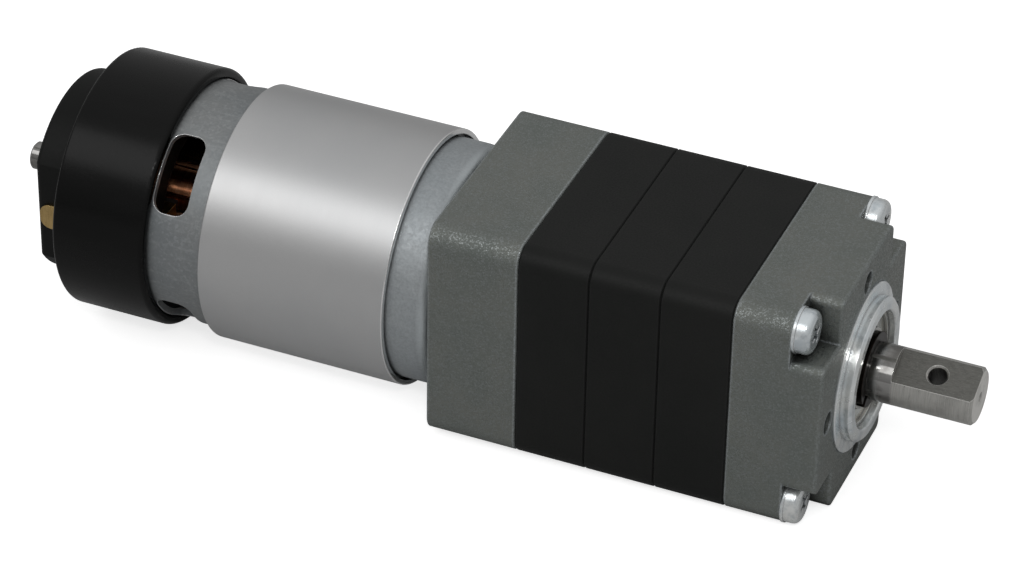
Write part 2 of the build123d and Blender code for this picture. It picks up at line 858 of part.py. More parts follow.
with BuildPart() as terminals:
    for side in (-1, 1):
        tab_plane = Plane(
            origin=(0, side * (end_bell_flat_distance + press_gap), -side * terminal_offset),
            x_dir=(1, 0, 0),
            z_dir=(0, side, 0),
        )
        with BuildSketch(tab_plane) as tab:
            with Locations(((terminal_tip + terminal_root) / 2, 0)):
                Rectangle(terminal_root - terminal_tip, terminal_width)
            fillet(tab.vertices().group_by(Axis.X)[0], terminal_corner_radius)
        extrude(amount=terminal_thickness)
save(Compound(children=list(terminals.part.solids())), "terminals")

# ---- Brushes, their holders and the bent leaf springs behind them --------------------------------
brush_clearance = 0.1
holder_bore = brush_width + brush_clearance
brush_blank_start = 4.0  # before its face is cut to the commutator's round
brush_end = 11.6
spring_thickness = 0.25
spring_fold = 1.4
spring_bend = 0.35  # where the folds lie, as a share of the spring's length from either end
spring_width = 3.0

with BuildPart() as brush_holders:
    for side in (-1, 1):
        with BuildSketch(Plane(origin=(brush_station, side * holder_start, 0), z_dir=(0, side, 0))):
            Rectangle(holder_size, holder_size)
            Rectangle(holder_bore, holder_bore, mode=Mode.SUBTRACT)
        extrude(amount=holder_end - holder_start)
save(Compound(children=list(brush_holders.part.solids())), "brush_holders")

with BuildPart() as carbon_brushes:
    for side in (-1, 1):
        with BuildSketch(Plane(origin=(brush_station, side * brush_blank_start, 0), z_dir=(0, side, 0))):
            Rectangle(brush_width, brush_width)
        extrude(amount=brush_end - brush_blank_start)
    extrude(
        annulus(commutator_rear, commutator_radius + running_gap),
        amount=commutator_front - commutator_rear,
        mode=Mode.SUBTRACT,
    )
save(Compound(children=list(carbon_brushes.part.solids())), "carbon_brushes")

with BuildPart() as brush_springs:
    spring_length = end_bell_flat_distance - brush_end - 2 * press_gap
    for side in (-1, 1):
        spring_plane = Plane(
            origin=(brush_station, side * (brush_end + press_gap), -spring_width / 2),
            x_dir=(1, 0, 0),
            z_dir=(0, 0, 1),
        )
        with BuildSketch(spring_plane):
            with BuildLine():
                path = Polyline(
                    (-spring_fold, side * spring_thickness),
                    (spring_fold, side * spring_length * spring_bend),
                    (-spring_fold, side * spring_length * (1 - spring_bend)),
                    (spring_fold, side * (spring_length - spring_thickness)),
                )
                offset(path, amount=spring_thickness / 2, kind=Kind.INTERSECTION)
            make_face()
        extrude(amount=spring_width)
save(Compound(children=list(brush_springs.part.solids())), "brush_springs")

# ---- Magnets and the clips that hold them apart --------------------------------------------------


def sector(station, outer_radius, inner_radius, direction, arc):
    """A sector of a ring across the axis, centred on a direction, both in degrees."""
    first = radians(direction - arc / 2)
    last = radians(direction + arc / 2)
    middle = radians(direction)
    with BuildSketch(across(station)) as section:
        with BuildLine():
            ThreePointArc(
                polar(outer_radius, first), polar(outer_radius, middle), polar(outer_radius, last)
            )
            Line(polar(outer_radius, last), polar(inner_radius, last))
            ThreePointArc(
                polar(inner_radius, last), polar(inner_radius, middle), polar(inner_radius, first)
            )
            Line(polar(inner_radius, first), polar(outer_radius, first))
        make_face()
    return section.sketch


for place, direction in (("upper", 90), ("lower", 270)):
    with BuildPart() as magnet:
        extrude(
            sector(magnet_rear, magnet_radius, magnet_bore_radius, direction, magnet_arc),
            amount=magnet_front - magnet_rear,
        )
    save(magnet.part, f"stator_magnet_{place}")

clip_arc = 180 - magnet_arc - 2
clip_thickness = 0.5
clip_leg_arc = 1.8
clip_leg_end = magnet_bore_radius + 0.3
clip_start = magnet_rear + 2
clip_length = magnet_front - magnet_rear - 4

with BuildPart() as magnet_clips:
    for direction in (0, 180):
        extrude(
            sector(clip_start, magnet_radius, magnet_radius - clip_thickness, direction, clip_arc),
            amount=clip_length,
        )
        for side in (-1, 1):
            leg_direction = direction + side * (clip_arc - clip_leg_arc) / 2
            extrude(
                sector(clip_start, magnet_radius, clip_leg_end, leg_direction, clip_leg_arc),
                amount=clip_length,
            )
save(Compound(children=list(magnet_clips.part.solids())), "magnet_clips")

# ---- Motor bearing and screws --------------------------------------------------------------------
motor_races = bearing_races(
    motor_bearing_rear,
    motor_bearing_width,
    rotor_shaft_radius,
    motor_bearing_radius,
    motor_ball_circle,
    motor_ball_radius,
    0.0,
)
save(motor_races[0], "motor_bearing_outer_race")
save(motor_races[1], "motor_bearing_inner_race")
motor_bearing_middle = motor_bearing_rear + motor_bearing_width / 2
save(
    ball_cage(motor_bearing_middle, motor_ball_circle, motor_ball_radius, motor_ball_count),
    "motor_bearing_balls_and_cage",
)

motor_screw_seat = motor_face + motor_plate_thickness
motor_screw_length = motor_plate_thickness + can_face_thickness - tip_clearance
motor_screw_head_radius = 3.5
motor_screw_head_height = 2.4
motor_recess_depth = 1.3

with BuildPart() as motor_screws:
    extrude(
        circles(motor_screw_seat - motor_screw_length, screw_radius, motor_screw_positions),
        amount=motor_screw_length,
    )
    extrude(
        circles(motor_screw_seat, motor_screw_head_radius, motor_screw_positions),
        amount=motor_screw_head_height,
    )
    with BuildSketch(across(motor_screw_seat + motor_screw_head_height)):
        with Locations(*motor_screw_positions):
            for turn in (0, 90):
                Rectangle(recess_slot_length, recess_slot_width, rotation=turn)
    extrude(amount=-motor_recess_depth, mode=Mode.SUBTRACT)
save(Compound(children=list(motor_screws.part.solids())), "motor_screws")

# ---- Rotor ---------------------------------------------------------------------------------------
rotor_shaft_setback = 0.2  # from the pinion's front end
rotor_shaft_front = first_start + sun_end - rotor_shaft_setback
stub_groove_setback = 0.1  # from the end bell's rear face
stub_groove_start = end_bell_rear + stub_groove_setback
stub_groove_width = 1.2
stub_groove_depth = 0.25

with BuildPart() as rotor_shaft:
    extrude(annulus(rotor_shaft_rear, rotor_shaft_radius), amount=rotor_shaft_front - rotor_shaft_rear)
    chamfer(rim_edges(rotor_shaft, rotor_shaft_rear, rotor_shaft_radius), rotor_shaft_chamfer)
    chamfer(rim_edges(rotor_shaft, rotor_shaft_front, rotor_shaft_radius), rotor_shaft_chamfer)
    extrude(
        annulus(stub_groove_start, 2 * rotor_shaft_radius, rotor_shaft_radius - stub_groove_depth),
        amount=stub_groove_width,
        mode=Mode.SUBTRACT,
    )
save(rotor_shaft.part, "rotor_shaft")

slot_inner_radius = 8.0
slot_outer_radius = 14.8
slot_inner_width = 1.6
slot_outer_width = 5.2
winding_inset = 0.15
winding_outer_radius = 14.4
winding_inner_radius = 5.2
winding_edge_radius = 2.5


def slot_pockets(station, inset):
    """The armature's wedge-shaped winding slots, each inset from its walls."""
    with BuildSketch(across(station)) as section:
        with PolarLocations(0, core_slots):
            with BuildLine():
                Polyline(
                    (slot_inner_radius + inset, slot_inner_width / 2 - inset),
                    (slot_outer_radius - inset, slot_outer_width / 2 - inset),
                    (slot_outer_radius - inset, inset - slot_outer_width / 2),
                    (slot_inner_radius + inset, inset - slot_inner_width / 2),
                    close=True,
                )
            make_face()
    return section.sketch


with BuildPart() as armature_core:
    extrude(annulus(core_rear, core_radius, rotor_shaft_radius + press_gap), amount=core_front - core_rear)
    extrude(slot_pockets(core_rear, 0), amount=core_front - core_rear, mode=Mode.SUBTRACT)
    with BuildSketch(across(core_rear)):
        with PolarLocations((slot_outer_radius + core_radius) / 2, core_slots):
            Rectangle(core_radius - slot_outer_radius + 1, core_slot_mouth)
    extrude(amount=core_front - core_rear, mode=Mode.SUBTRACT)
save(armature_core.part, "armature_core")

with BuildPart() as armature_windings:
    extrude(
        slot_pockets(core_rear - winding_overhang / 2, winding_inset),
        amount=core_front - core_rear + winding_overhang,
    )
    for station in (core_rear - winding_overhang, core_front + press_gap):
        extrude(
            annulus(station, winding_outer_radius, winding_inner_radius),
            amount=winding_overhang - press_gap,
        )
    end_rims = [
        *rim_edges(armature_windings, core_rear - winding_overhang, winding_outer_radius),
        *rim_edges(armature_windings, core_front + winding_overhang, winding_outer_radius),
    ]
    fillet(end_rims, winding_edge_radius)
save(armature_windings.part, "armature_windings")

with BuildPart() as commutator_hub:
    extrude(
        annulus(commutator_rear, commutator_hub_radius, rotor_shaft_radius + press_gap),
        amount=commutator_front - commutator_rear,
    )
save(commutator_hub.part, "commutator_hub")

with BuildPart() as commutator_segments:
    extrude(
        annulus(commutator_rear, commutator_radius, commutator_hub_radius + press_gap),
        amount=commutator_front - commutator_rear,
    )
    extrude(
        annulus(commutator_front - riser_length, riser_radius, commutator_hub_radius + press_gap),
        amount=riser_length,
    )
    with BuildSketch(across(commutator_rear)):
        with PolarLocations(commutator_radius, commutator_bars):
            Rectangle(2 * (commutator_radius - commutator_hub_radius) + 2, bar_gap)
    extrude(amount=commutator_front - commutator_rear, mode=Mode.SUBTRACT)
save(Compound(children=list(commutator_segments.part.solids())), "commutator_segments")
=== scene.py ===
"""Looks of the planetary gearmotor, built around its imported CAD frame. Everything is in metres."""

import json
import math

import bpy
from mathutils import Matrix, Vector


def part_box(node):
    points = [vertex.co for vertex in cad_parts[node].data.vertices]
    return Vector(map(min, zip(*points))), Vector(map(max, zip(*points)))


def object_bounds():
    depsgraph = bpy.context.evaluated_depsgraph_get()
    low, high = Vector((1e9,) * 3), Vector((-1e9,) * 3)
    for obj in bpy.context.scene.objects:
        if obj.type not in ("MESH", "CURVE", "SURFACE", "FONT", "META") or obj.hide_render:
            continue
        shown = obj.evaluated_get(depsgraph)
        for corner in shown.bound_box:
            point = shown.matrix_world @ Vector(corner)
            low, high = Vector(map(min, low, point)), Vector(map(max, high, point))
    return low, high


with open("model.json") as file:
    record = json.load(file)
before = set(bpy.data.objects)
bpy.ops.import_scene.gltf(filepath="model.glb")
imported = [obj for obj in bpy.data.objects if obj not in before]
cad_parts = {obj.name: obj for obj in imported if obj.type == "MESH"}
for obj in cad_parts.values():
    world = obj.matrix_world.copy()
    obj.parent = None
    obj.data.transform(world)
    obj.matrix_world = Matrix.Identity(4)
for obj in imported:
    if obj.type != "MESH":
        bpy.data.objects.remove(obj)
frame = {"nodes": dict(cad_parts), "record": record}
cad_low, cad_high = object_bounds()

MM = 0.001
scene = bpy.context.scene

# ---- Camera --------------------------------------------------------------------------------------
CAMERA_AZIMUTH = math.radians(22.30)
CAMERA_ELEVATION = math.radians(35.28)
CAMERA_ROLL = math.radians(1.10)
CAMERA_DISTANCE = 735.4 * MM
CAMERA_TARGET = Vector((-62.45, -2.39, 0.0)) * MM
SENSOR_WIDTH = 36.0  # in millimetres, as the lens is
CAMERA_LENS = 152.57647
NEAREST_SEEN, FARTHEST_SEEN = 0.01, 50.0


def direction(azimuth, elevation):
    """The unit vector from the object towards an azimuth and elevation in radians."""
    level = math.cos(elevation)
    return Vector((math.sin(azimuth) * level, -math.cos(azimuth) * level, math.sin(elevation)))


def add_camera():
    """The photograph's viewpoint."""
    back = direction(CAMERA_AZIMUTH, CAMERA_ELEVATION)
    level_right = Vector((math.cos(CAMERA_AZIMUTH), math.sin(CAMERA_AZIMUTH), 0))
    level_up = back.cross(level_right)
    right = math.cos(CAMERA_ROLL) * level_right + math.sin(CAMERA_ROLL) * level_up
    up = math.cos(CAMERA_ROLL) * level_up - math.sin(CAMERA_ROLL) * level_right
    data = bpy.data.cameras.new("camera")
    data.sensor_width = SENSOR_WIDTH
    data.lens = CAMERA_LENS
    data.clip_start = NEAREST_SEEN
    data.clip_end = FARTHEST_SEEN
    camera = bpy.data.objects.new("camera", data)
    camera.matrix_world = Matrix.LocRotScale(
        CAMERA_TARGET + back * CAMERA_DISTANCE,
        Matrix((right, up, back)).transposed().to_quaternion(),
        None,
    )
    scene.collection.objects.link(camera)
    scene.camera = camera


# ---- Node helpers --------------------------------------------------------------------------------
NOISE_LOW, NOISE_HIGH = 0.35, 0.65  # most of a noise lies between these
NODE_SAMPLES = 6
RANGE_SOCKETS = ("From Min", "From Max", "To Min", "To Max")
# A mix node has a socket of each kind under one name, so its colour sockets go by number.
MIX_FIRST, MIX_SECOND, MIX_RESULT = 6, 7, 2
# How far a rounded normal agrees with the face's own, from an open face to a sharp edge.
OPEN_FACE, SHARP_EDGE = 0.999, 0.93
# How much of the surroundings a point sees in a deep recess and in the open, which sets how much shade
# is painted there.
CLOSED_IN, OPEN_SIGHT = 0.25, 0.70
DEEPEST_SHADE = 0.9


def scaled(tone, factor):
    """A tone made lighter or darker, and at most white."""
    return tuple(min(1.0, factor * value) for value in tone)


class Surface:
    """A material under construction, with short ways to add and join nodes."""

    def __init__(self, name):
        self.material = bpy.data.materials.new(name)
        self.material.use_nodes = True
        self.tree = self.material.node_tree
        self.tree.nodes.clear()
        self.shader = self.node("ShaderNodeBsdfPrincipled")
        output = self.node("ShaderNodeOutputMaterial")
        self.join(self.shader.outputs[0], output.inputs[0])
        coordinates = self.node("ShaderNodeTexCoord")
        self.place = coordinates.outputs["Object"]
        self.facing = coordinates.outputs["Normal"]

    def node(self, kind, **settings):
        """A new node with its settings."""
        made = self.tree.nodes.new(kind)
        for key, value in settings.items():
            setattr(made, key, value)
        return made

    def join(self, source, target):
        self.tree.links.new(source, target)

    def put(self, target, value):
        """Sets a socket to a number or colour, or joins an output to it."""
        if isinstance(value, bpy.types.NodeSocket):
            self.join(value, target)
        elif isinstance(value, tuple) and len(value) == 3 and len(target.default_value) == 4:
            target.default_value = (*value, 1)
        else:
            target.default_value = value

    def stretch(self, scale):
        """Object coordinates scaled along each axis."""
        mapping = self.node("ShaderNodeMapping")
        self.join(self.place, mapping.inputs["Vector"])
        mapping.inputs["Scale"].default_value = scale
        return mapping.outputs[0]

    def noise(self, scale, detail=2.0, rough=0.5, along=None):
        """Cloudy noise; scale counts features in a metre."""
        made = self.node("ShaderNodeTexNoise")
        self.put(made.inputs["Vector"], self.place if along is None else along)
        made.inputs["Scale"].default_value = scale
        made.inputs["Detail"].default_value = detail
        made.inputs["Roughness"].default_value = rough
        return made.outputs["Fac"]

    def streaks(self, scale, detail, rough):
        """Noise drawn out into streaks; scale counts features in a metre along each axis."""
        return self.noise(1, detail, rough, self.stretch(scale))

    def cells(self, scale):
        """A random grey for each cell, as of metal grain; scale counts cells in a metre."""
        made = self.node("ShaderNodeTexVoronoi")
        self.join(self.place, made.inputs["Vector"])
        made.inputs["Scale"].default_value = scale
        grey = self.node("ShaderNodeSeparateColor")
        self.join(made.outputs["Color"], grey.inputs[0])
        return grey.outputs[0]

    def fit(self, value, low, high, new_low, new_high):
        """A value's range moved to another range, and held in it."""
        made = self.node("ShaderNodeMapRange", clamp=True)
        self.put(made.inputs["Value"], value)
        for socket, number in zip(RANGE_SOCKETS, (low, high, new_low, new_high)):
            self.put(made.inputs[socket], number)
        return made.outputs[0]

    def spread(self, noise, new_low=0, new_high=1):
        """The range that most of a noise lies in, opened to another range."""
        return self.fit(noise, NOISE_LOW, NOISE_HIGH, new_low, new_high)

    def maths(self, operation, first, second):
        """One sum on two numbers."""
        made = self.node("ShaderNodeMath", operation=operation)
        self.put(made.inputs[0], first)
        self.put(made.inputs[1], second)
        return made.outputs[0]

    def mix(self, amount, first, second):
        """A colour between two others."""
        made = self.node("ShaderNodeMix", data_type="RGBA")
        self.put(made.inputs["Factor"], amount)
        self.put(made.inputs[MIX_FIRST], first)
        self.put(made.inputs[MIX_SECOND], second)
        return made.outputs[MIX_RESULT]

    def along_axis(self):
        """The distance along the gearmotor's axis, in metres."""
        return self.dot(self.place, (1.0, 0.0, 0.0))

    def dot(self, vector, fixed):
        """How far a vector points along another."""
        made = self.node("ShaderNodeVectorMath", operation="DOT_PRODUCT")
        self.put(made.inputs[0], vector)
        self.put(made.inputs[1], fixed)
        return made.outputs["Value"]

    def edges(self, radius):
        """A mask that is one along sharp edges and nothing elsewhere, and a normal rounding them."""
        bevel = self.node("ShaderNodeBevel", samples=NODE_SAMPLES)
        bevel.inputs["Radius"].default_value = radius
        normal = self.node("ShaderNodeNewGeometry").outputs["Normal"]
        agreement = self.dot(bevel.outputs[0], normal)
        return self.fit(agreement, OPEN_FACE, SHARP_EDGE, 0.0, 1.0), bevel.outputs[0]

    def crevice_shade(self, reach):
        """A mask for painted shade, which grows from nothing in the open to most of one deep in
        corners and recesses.
        """
        made = self.node("ShaderNodeAmbientOcclusion", samples=NODE_SAMPLES)
        made.inputs["Distance"].default_value = reach
        return self.fit(made.outputs["AO"], CLOSED_IN, OPEN_SIGHT, DEEPEST_SHADE, 0.0)

    def bump(self, height, distance, strength, normal=None):
        """A normal disturbed by a height, on top of another normal if one is given."""
        made = self.node("ShaderNodeBump")
        made.inputs["Distance"].default_value = distance
        made.inputs["Strength"].default_value = strength
        self.put(made.inputs["Height"], height)
        if normal is not None:
            self.join(normal, made.inputs["Normal"])
        return made.outputs[0]

    def finish(self, **sockets):
        """Sets the shader's sockets, with spaces in place of underscores."""
        for key, value in sockets.items():
            self.put(self.shader.inputs[key.replace("_", " ")], value)
        return self.material


# ---- Materials -----------------------------------------------------------------------------------
# Where looks change along the axis, and which way the shaft's faces look.
FLUX_RING_FRONT = -77.3 * MM
CAN_SHOULDER = -77.0 * MM
FLANGE_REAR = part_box("motor_flange")[0].x
SHAFT_FLAT_START = 6.5 * MM
SHAFT_FLAT_DIRECTION = math.radians(115.5)
SHAFT_FLAT_NORMAL = (0.0, math.cos(SHAFT_FLAT_DIRECTION), math.sin(SHAFT_FLAT_DIRECTION))
SHAFT_END_NORMAL = (1.0, 0.0, 0.0)
# Tones that several materials share.
# Worn, bare steel on sharp edges, and the painted highlight on the flux ring's front rim.
BARE_EDGE_AND_HIGHLIGHT = (0.95, 0.95, 0.95)
RUBBED_BLACK = (0.05, 0.05, 0.05)
WARM_SHADOW = (0.02, 0.02, 0.018)
# The sheets that the armature is stacked from.
SHEET_BANDS = 630  # a wave's scale that gives bands of half a millimetre
SHEET_UNEVENNESS = 0.1


def die_cast():
    """Tumbled zinc die casting: grey, finely pitted, with bright grains that catch the light."""
    s = Surface("die_cast")
    worn, rounded = s.edges(0.6 * MM)
    cloud = s.noise(90, detail=4, rough=0.6)
    grain = s.noise(3600, detail=3, rough=0.65)
    pits = s.noise(8500, detail=1)
    speck = s.cells(4600)
    bright = s.fit(speck, 0.58, 0.95, 0, 1)
    tone = s.mix(s.spread(cloud), (0.158, 0.175, 0.162), (0.186, 0.195, 0.178))
    tone = s.mix(s.fit(grain, 0.30, 0.46, 0.5, 0), tone, (0.090, 0.096, 0.088))
    tone = s.mix(bright, tone, (0.29, 0.31, 0.305))
    glint = s.fit(s.maths("ADD", speck, grain), 0.75, 1.25, 0.35, 0.75)
    sparkle = s.maths("MULTIPLY", worn, glint)
    tone = s.mix(sparkle, tone, (0.68, 0.73, 0.76))
    # Painted shade: dark in the casting's corners, notches and holes.
    tone = s.mix(s.crevice_shade(4.0 * MM), tone, WARM_SHADOW)
    rough = s.fit(bright, 0, 1, s.spread(grain, 0.44, 0.58), 0.30)
    height = s.maths("ADD", grain, s.maths("MULTIPLY", pits, 0.6))
    return s.finish(
        Base_Color=tone,
        Metallic=s.fit(s.maths("ADD", bright, sparkle), 0.0, 0.9, 0.35, 1.0),
        Roughness=rough,
        Normal=s.bump(height, 0.09 * MM, 0.9, rounded),
    )


def black_die_cast():
    """The same casting under a matt black coat, a little grey where its edges are rubbed."""
    s = Surface("black_die_cast")
    worn, rounded = s.edges(0.3 * MM)
    cloud = s.noise(70, detail=4, rough=0.6)
    grain = s.noise(3000, detail=3, rough=0.6)
    tone = s.mix(s.fit(cloud, 0.35, 0.7, 0, 1), (0.0075, 0.0082, 0.0075), (0.0105, 0.0108, 0.0100))
    rubbed = s.maths("MULTIPLY", worn, s.fit(grain, 0.4, 0.6, 0.1, 0.4))
    tone = s.mix(rubbed, tone, RUBBED_BLACK)
    return s.finish(
        Base_Color=tone,
        Roughness=s.spread(grain, 0.46, 0.60),
        Specular_IOR_Level=0.22,
        Normal=s.bump(grain, 0.03 * MM, 0.45, rounded),
    )


def black_plastic(name, tone, rough, texture):
    """Moulded black plastic with a fine spark-eroded texture and faint flow marks."""
    s = Surface(name)
    worn, rounded = s.edges(0.25 * MM)
    flow = s.streaks((40, 160, 160), detail=3, rough=0.5)
    texture_height = s.noise(texture, detail=2, rough=0.6)
    light = tuple(1.7 * value + 0.001 for value in tone)
    colour = s.mix(s.fit(flow, 0.35, 0.7, 0, 1), tone, light)
    colour = s.mix(s.maths("MULTIPLY", worn, 0.15), colour, RUBBED_BLACK)
    return s.finish(
        Base_Color=colour,
        Roughness=s.fit(s.maths("ADD", texture_height, flow), 0.7, 1.3, rough - 0.04, rough + 0.06),
        Specular_IOR_Level=0.2,
        Normal=s.bump(texture_height, 0.02 * MM, 0.35, rounded),
    )


def satin_steel():
    """Rolled steel strip with a satin plated finish, almost even, and a painted highlight round its
    front rim.
    """
    s = Surface("satin_steel")
    worn, rounded = s.edges(0.2 * MM)
    cloud = s.noise(45, detail=4, rough=0.55)
    rolled = s.streaks((1400, 160, 160), detail=3, rough=0.6)
    grain = s.noise(5200, detail=2, rough=0.6)
    tone = s.mix(s.spread(cloud), (0.60, 0.605, 0.61), (0.64, 0.64, 0.64))
    tone = s.mix(s.spread(grain, 0.15, 0), tone, (0.50, 0.505, 0.51))
    # Painted highlight: the flux ring's front rim is painted near white all round and made glossy;
    # sharp edges get the same tone as worn, bare steel.
    rim_highlight = s.fit(s.along_axis(), FLUX_RING_FRONT - 0.30 * MM, FLUX_RING_FRONT - 0.18 * MM, 0, 1)
    tone = s.mix(s.maths("MAXIMUM", worn, rim_highlight), tone, BARE_EDGE_AND_HIGHLIGHT)
    rough = s.fit(s.maths("ADD", grain, s.maths("MULTIPLY", rolled, 0.5)), 0.5, 1.0, 0.38, 0.43)
    rough = s.fit(s.maths("MAXIMUM", worn, rim_highlight), 0, 1, rough, 0.18)
    return s.finish(
        Base_Color=tone,
        Metallic=1.0,
        Roughness=rough,
        Normal=s.bump(grain, 0.01 * MM, 0.3, rounded),
    )


def galvanised():
    """Deep drawn galvanised sheet: speckled with small spangles and pulled lengthways."""
    s = Surface("galvanised")
    worn, rounded = s.edges(0.2 * MM)
    cloud = s.noise(60, detail=4, rough=0.6)
    drawn = s.streaks((120, 1100, 1100), detail=4, rough=0.6)
    grain = s.noise(2400, detail=3, rough=0.7)
    spangle = s.cells(2100)
    glint = (0.62, 0.64, 0.65)
    # Painted sheen: the can in front of the flux ring is painted lighter, and it is made a little
    # glossier too.
    front_sheen = s.fit(s.along_axis(), CAN_SHOULDER - 1.5 * MM, CAN_SHOULDER, 0, 1)
    tone = s.mix(s.spread(cloud), (0.26, 0.28, 0.29), (0.32, 0.33, 0.33))
    tone = s.mix(s.maths("MULTIPLY", front_sheen, 0.45), tone, (0.62, 0.67, 0.70))
    tone = s.mix(s.fit(spangle, 0.55, 1.0, 0, 0.22), tone, glint)
    tone = s.mix(s.fit(grain, 0.30, 0.62, 0.40, 0), tone, (0.20, 0.215, 0.225))
    tone = s.mix(s.fit(drawn, 0.55, 0.75, 0, 0.15), tone, glint)
    # Painted highlight: a light band round the can just behind the motor flange.
    shoulder_highlight = s.fit(s.along_axis(), FLANGE_REAR - 2.2 * MM, FLANGE_REAR - 0.9 * MM, 0, 0.65)
    tone = s.mix(shoulder_highlight, tone, (0.80, 0.86, 0.88))
    tone = s.mix(s.maths("MULTIPLY", worn, 0.9), tone, BARE_EDGE_AND_HIGHLIGHT)
    # Painted shade: dark in the seams and corners where the can meets other parts.
    tone = s.mix(s.crevice_shade(0.8 * MM), tone, (0.03, 0.03, 0.03))
    rough = s.fit(s.maths("ADD", spangle, grain), 0.4, 1.5, s.fit(front_sheen, 0, 1, 0.44, 0.40), 0.60)
    rough = s.fit(worn, 0, 1, rough, 0.20)
    height = s.maths("ADD", grain, s.maths("MULTIPLY", drawn, 0.7))
    return s.finish(
        Base_Color=tone,
        Metallic=0.75,
        Roughness=rough,
        Normal=s.bump(height, 0.03 * MM, 0.45, rounded),
    )


def zinc_plate():
    """Bright zinc plate with a bluish passivate: mottled, streaky and lighter at its edges."""
    s = Surface("zinc_plate")
    worn, rounded = s.edges(0.25 * MM)
    cloud = s.noise(260, detail=5, rough=0.65)
    tint = s.noise(150, detail=3, rough=0.5)
    streak = s.noise(900, detail=4, rough=0.7)
    tone = s.mix(s.spread(tint), (0.84, 0.90, 0.93), (0.95, 0.96, 0.94))
    tone = s.mix(s.fit(cloud, 0.38, 0.48, 0.5, 0), tone, (0.40, 0.46, 0.51))
    tone = s.mix(s.fit(streak, 0.58, 0.75, 0, 0.6), tone, (0.92, 0.95, 0.96))
    tone = s.mix(worn, tone, (0.95, 0.97, 0.98))
    # Painted shade: dark in recesses and in the gaps where the plated parts meet others.
    tone = s.mix(s.crevice_shade(1.2 * MM), tone, (0.03, 0.032, 0.035))
    rough = s.fit(s.maths("ADD", cloud, streak), 0.7, 1.3, 0.14, 0.30)
    return s.finish(
        Base_Color=tone,
        Metallic=0.72,
        Roughness=rough,
        Normal=s.bump(s.maths("ADD", streak, cloud), 0.04 * MM, 0.6, rounded),
    )


def ground_steel():
    """Ground round shaft with a milled flat, whose fine marks run the other way."""
    s = Surface("ground_steel")
    worn, rounded = s.edges(0.12 * MM)
    facing_flat = s.dot(s.facing, SHAFT_FLAT_NORMAL)
    milled = s.fit(facing_flat, 0.9955, 0.9995, 0, 1)
    ends = s.fit(s.dot(s.facing, SHAFT_END_NORMAL), 0.90, 0.98, 0, 1)
    polished = s.fit(s.along_axis(), SHAFT_FLAT_START, SHAFT_FLAT_START + 0.3 * MM, 1, 0)
    grinding = s.streaks((9000, 240, 240), detail=4, rough=0.7)
    milling = s.streaks((900, 5200, 5200), detail=4, rough=0.7)
    scratches = s.noise(3600, detail=3, rough=0.8)
    cloud = s.noise(220, detail=4, rough=0.6)
    dull_tone = s.mix(s.spread(grinding), (0.46, 0.455, 0.43), (0.64, 0.63, 0.60))
    # Painted reflection: the polished zone is painted dark, standing in for the dark surroundings it
    # mirrors; the same dark tone also gives the shaft random cloudy patches.
    dark_patch_and_reflection = (0.20, 0.195, 0.185)
    polished_dark_reflection = s.mix(s.fit(cloud, 0.4, 0.6, 0, 1), dark_patch_and_reflection, (0.36, 0.355, 0.345))
    round_tone = s.mix(polished, dull_tone, polished_dark_reflection)
    flat_tone = s.mix(s.spread(milling), (0.140, 0.139, 0.128), (0.215, 0.213, 0.198))
    flat_tone = s.mix(s.fit(scratches, 0.58, 0.70, 0, 0.6), flat_tone, (0.36, 0.355, 0.335))
    tone = s.mix(milled, round_tone, flat_tone)
    tone = s.mix(ends, tone, (0.88, 0.865, 0.83))
    tone = s.mix(s.fit(cloud, 0.32, 0.5, 0.3, 0), tone, dark_patch_and_reflection)
    tone = s.mix(s.maths("MULTIPLY", worn, 0.8), tone, (0.86, 0.85, 0.82))
    # Painted shade: dark inside the cross hole and in other recesses.
    tone = s.mix(s.crevice_shade(5.0 * MM), tone, WARM_SHADOW)
    round_rough = s.fit(polished, 0, 1, s.spread(grinding, 0.26, 0.40), 0.09)
    rough = s.fit(milled, 0, 1, round_rough, s.fit(milling, 0.3, 0.7, 0.40, 0.55))
    rough = s.fit(ends, 0, 1, rough, 0.45)
    flat_height = s.maths("MULTIPLY", milled, s.maths("ADD", milling, scratches))
    height = s.maths("ADD", grinding, flat_height)
    return s.finish(
        Base_Color=tone,
        Metallic=1.0,
        Roughness=rough,
        Normal=s.bump(height, 0.012 * MM, 0.4, rounded),
    )


def machined(name, dark, light, rough, lines):
    """Turned or pressed metal with tool marks round the axis, lines in a metre, and a cloudy tone."""
    s = Surface(name)
    worn, rounded = s.edges(0.12 * MM)
    marks = s.streaks((lines, 260, 260), detail=3, rough=0.7)
    cloud = s.noise(190, detail=4, rough=0.6)
    grain = s.noise(4200, detail=2, rough=0.6)
    tone = s.mix(s.spread(marks), dark, light)
    tone = s.mix(s.fit(cloud, 0.30, 0.5, 0.5, 0), tone, scaled(dark, 0.55))
    tone = s.mix(s.maths("MULTIPLY", worn, 0.7), tone, scaled(light, 1.6))
    # Painted shade: dark in gaps and recesses, as between a bearing's races and shields.
    tone = s.mix(s.crevice_shade(1.2 * MM), tone, (0.02, 0.02, 0.02))
    return s.finish(
        Base_Color=tone,
        Metallic=1.0,
        Roughness=s.fit(s.maths("ADD", marks, grain), 0.7, 1.3, rough - 0.06, rough + 0.08),
        Normal=s.bump(s.maths("ADD", marks, grain), 0.01 * MM, 0.4, rounded),
    )


def granular(name, dark, light, rough, scale, metallic=0.0):
    """Sintered, pressed or moulded stuff with visible grain, scale features in a metre."""
    s = Surface(name)
    worn, rounded = s.edges(0.15 * MM)
    grain = s.noise(scale, detail=4, rough=0.7)
    speck = s.cells(scale * 0.7)
    tone = s.mix(s.fit(grain, 0.3, 0.7, 0, 1), dark, light)
    tone = s.mix(s.fit(speck, 0.85, 1.0, 0, 0.5), tone, scaled(light, 1.8))
    tone = s.mix(s.maths("MULTIPLY", worn, 0.4), tone, scaled(light, 2))
    return s.finish(
        Base_Color=tone,
        Metallic=metallic,
        Roughness=s.fit(speck, 0, 1, rough - 0.08, rough + 0.08),
        Normal=s.bump(grain, 0.03 * MM, 0.5, rounded),
    )


